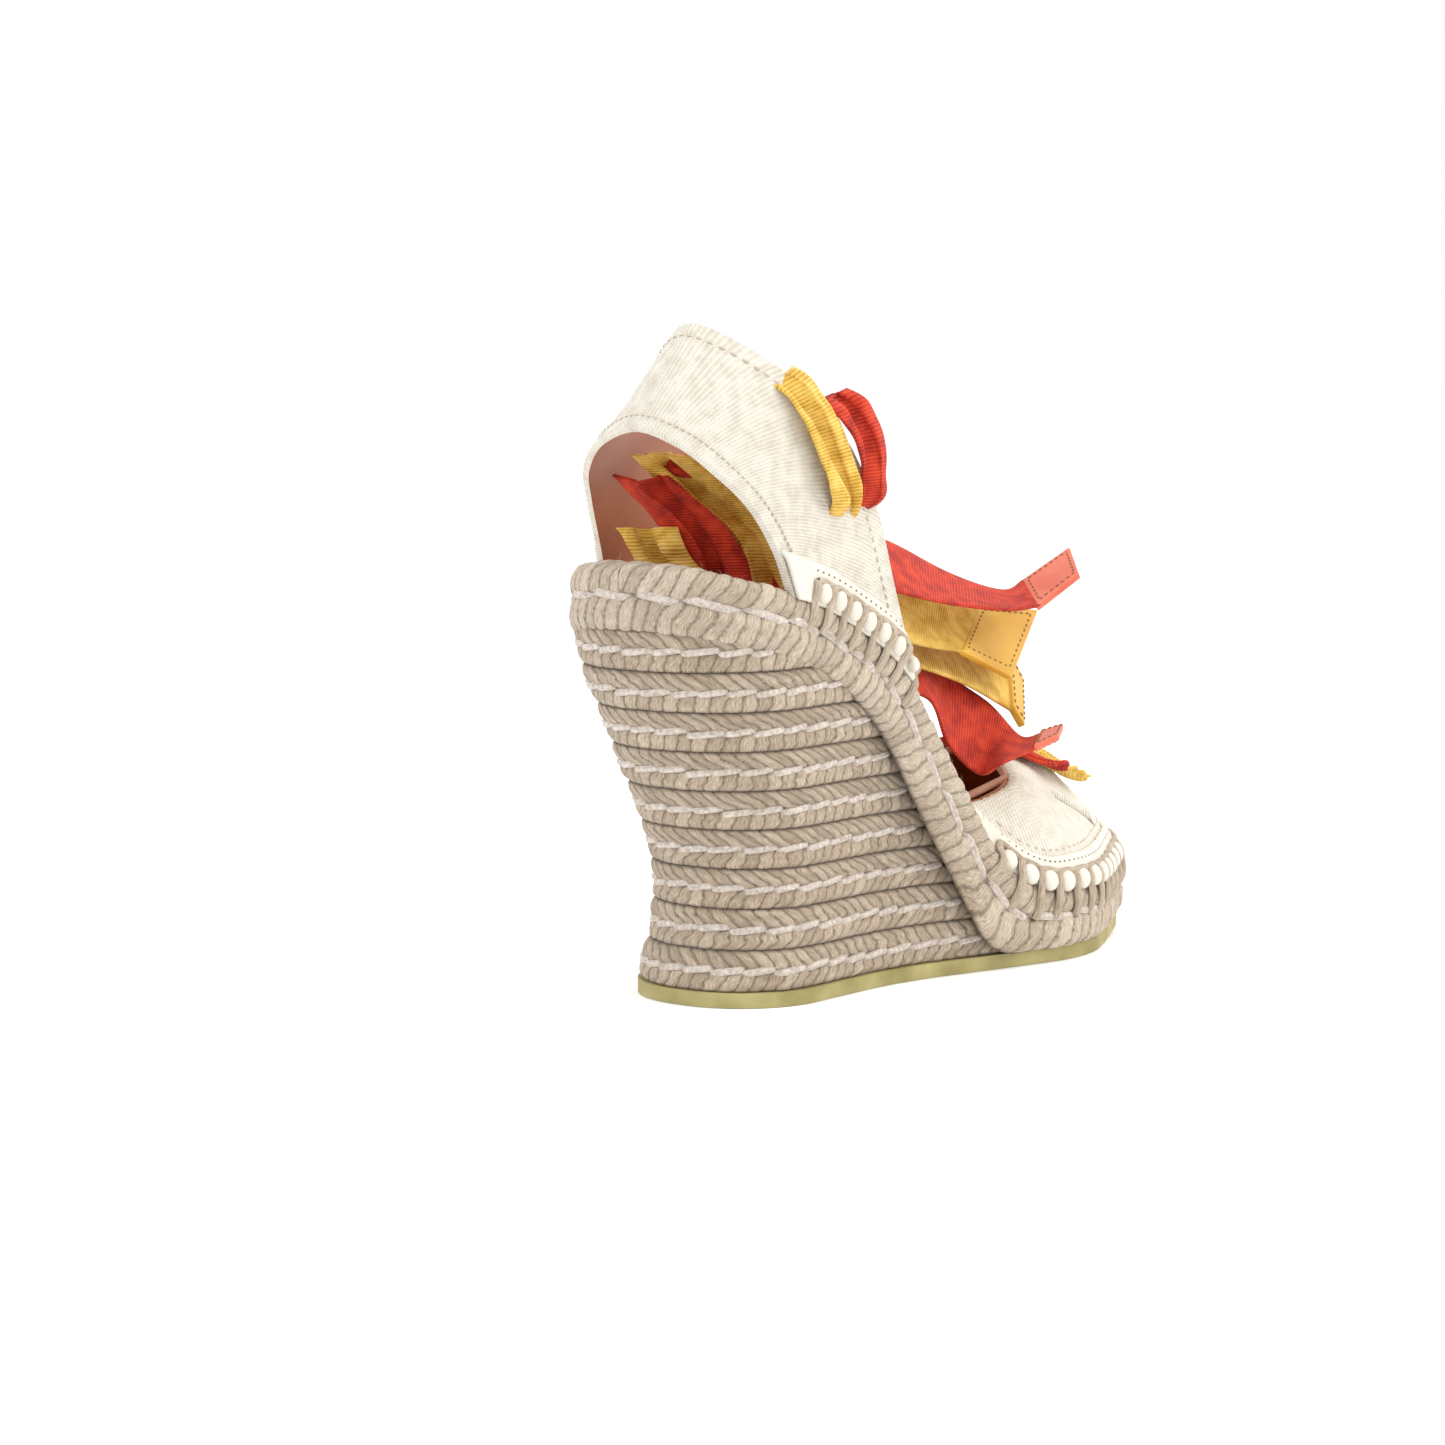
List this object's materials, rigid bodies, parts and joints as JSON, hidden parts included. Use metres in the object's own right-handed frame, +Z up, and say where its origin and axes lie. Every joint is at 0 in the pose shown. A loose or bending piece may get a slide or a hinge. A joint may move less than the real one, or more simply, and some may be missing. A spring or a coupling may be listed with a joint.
{
  "type": "wedge sandal",
  "caption": "Right-foot wedge sandal: braided jute wedge and platform band, rubber outsole, canvas toe vamp and heel strap, double-faced ribbon ties with leather tips.",
  "frame": {"origin": "On the ground, in the middle plane of the heel, 95 mm in front of the rear of the rim, on the level under-side of the outsole.", "axes": "+X towards the toe, +Y towards the inner side of this right foot, +Z up."},
  "size_m": [0.215, 0.0844, 0.183],
  "materials": {
    "band_jute": "braided jute yarn, dull",
    "board": "pressed fibre board, hidden",
    "canvas": "ribbed cotton canvas, dull",
    "core": "granular cork and foam, hidden",
    "foam": "open-cell latex foam, hidden",
    "lining_leather": "smooth tan leather, satin",
    "rand_leather": "off-white grained leather, satin",
    "ribbon_red": "double-faced grosgrain, faint sheen",
    "ribbon_yellow": "double-faced grosgrain, faint sheen",
    "rubber": "olive crepe rubber, dull",
    "thread": "flat waxed linen thread, faint sheen",
    "tip_red": "smooth dyed leather, satin",
    "tip_yellow": "smooth dyed leather, satin",
    "wedge_jute": "braided jute yarn, dull"
  },
  "bodies": {
    "sole_unit": {"band_lower_strand": "band_jute", "band_thread": "thread", "band_upper_strand": "band_jute", "braid_row_1": "wedge_jute", "braid_row_2": "wedge_jute", "braid_row_3": "wedge_jute", "braid_row_4": "wedge_jute", "braid_row_5": "wedge_jute", "braid_row_6": "wedge_jute", "braid_row_7": "wedge_jute", "braid_row_8": "wedge_jute", "braid_row_9": "wedge_jute", "braid_thread_1": "thread", "braid_thread_2": "thread", "braid_thread_3": "thread", "braid_thread_4": "thread", "braid_thread_5": "thread", "braid_thread_6": "thread", "braid_thread_7": "thread", "braid_thread_8": "thread", "braid_thread_9": "thread", "bundle_red_arc": "ribbon_red", "bundle_red_knot": "ribbon_red", "bundle_yellow_arc": "ribbon_yellow", "bundle_yellow_fold": "ribbon_yellow", "footbed_foam": "foam", "inner_foot_canvas": "canvas", "inner_foot_lining": "lining_leather", "inner_foot_rand": "rand_leather", "insole_board": "board", "outer_foot_canvas": "canvas", "outer_foot_lining": "lining_leather", "outer_foot_rand": "rand_leather", "platform_filler": "core", "rubber_outsole": "rubber", "sock_lining": "lining_leather", "tail_lower_red": "ribbon_red", "tail_lower_red_tip": "tip_red", "tail_lower_yellow": "ribbon_yellow", "tail_lower_yellow_tip": "tip_yellow", "tail_upper_red": "ribbon_red", "tail_upper_red_tip": "tip_red", "tail_upper_yellow": "ribbon_yellow", "tail_upper_yellow_tip": "tip_yellow", "toe_rand": "rand_leather", "vamp_canvas": "canvas", "vamp_lining": "lining_leather", "vamp_ribbon": "ribbon_red", "wedge_core": "core"},
    "heel_strap": {"heel_strap_canvas": "canvas", "heel_strap_lining": "lining_leather", "inner_loop_red": "ribbon_red", "inner_loop_yellow": "ribbon_yellow", "outer_loop_red": "ribbon_red", "outer_loop_yellow": "ribbon_yellow"}
  },
  "joints": [
    {"name": "heel_strap_flex", "type": "hinge", "parent": "sole_unit", "child": "heel_strap", "pos_m": [-0.037, 0, 0.098], "axis": [0, 1, 0], "range_deg": [-8, 12], "stiffness_Nm_per_rad": 0.15}
  ]
}
